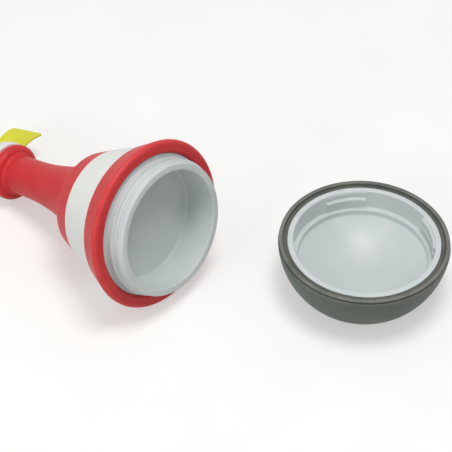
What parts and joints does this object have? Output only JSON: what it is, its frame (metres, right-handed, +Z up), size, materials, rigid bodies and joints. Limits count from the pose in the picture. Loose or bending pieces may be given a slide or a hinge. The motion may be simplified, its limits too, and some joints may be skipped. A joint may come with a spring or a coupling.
{
  "type": "floating treat toy",
  "caption": "Buoy-shaped floating treat toy: a ballasted bowl with bayonet-like lugs, and a striped body with a threaded cup, neck, round head and side flag that screws onto the bowl.",
  "frame": {"origin": "centre of the bowl's flat base, on the floor", "axes": "+Z up; +X from the lying body's side towards the bowl's side; +Y away from the viewer of the pictured side"},
  "size_m": [0.341, 0.2098, 0.1167],
  "materials": {
    "bowl_rubber": "matte",
    "liner_plastic": "satin",
    "gasket_rubber": "matte",
    "ballast_iron": "matte",
    "cup_plastic": "satin",
    "red_rubber": "matte",
    "white_rubber": "matte",
    "flag_rubber": "matte",
    "float_foam": "matte"
  },
  "bodies": {
    "bowl": {"bowl_shell": "bowl_rubber", "bowl_liner": "liner_plastic", "rim_gasket": "gasket_rubber", "ballast_ring": "ballast_iron"},
    "swing_carrier": {"neck_float": "float_foam"},
    "screw_carrier": {"bell_float": "float_foam"},
    "buoy_body": {"insert_cup": "cup_plastic", "flange_band": "red_rubber", "white_band": "white_rubber", "neck_skin": "red_rubber", "collar_ring": "red_rubber", "head_ball": "white_rubber", "signal_flag": "flag_rubber"}
  },
  "joints": [
    {"name": "body_swing", "type": "hinge", "parent": "bowl", "child": "swing_carrier", "pos_m": [-0.06959, 0.01758, 0.02894], "axis": [-0.0156, 0.8894, 0.4568], "range_deg": [0, 124.57]},
    {"name": "screw_advance", "type": "slide", "parent": "swing_carrier", "child": "screw_carrier", "axis": [0.7436, -0.624, 0.2402], "range_m": [0, 0.0205]},
    {"name": "screw_turn", "type": "hinge", "parent": "screw_carrier", "child": "buoy_body", "pos_m": [-0.1425, 0.0009, 0.05892], "axis": [0.7436, -0.624, 0.2402], "range_deg": [0, 1230]}
  ],
  "couplings": [
    {"joint": "screw_advance", "follows": "screw_turn", "m_per_rad": 0.00095493}
  ]
}
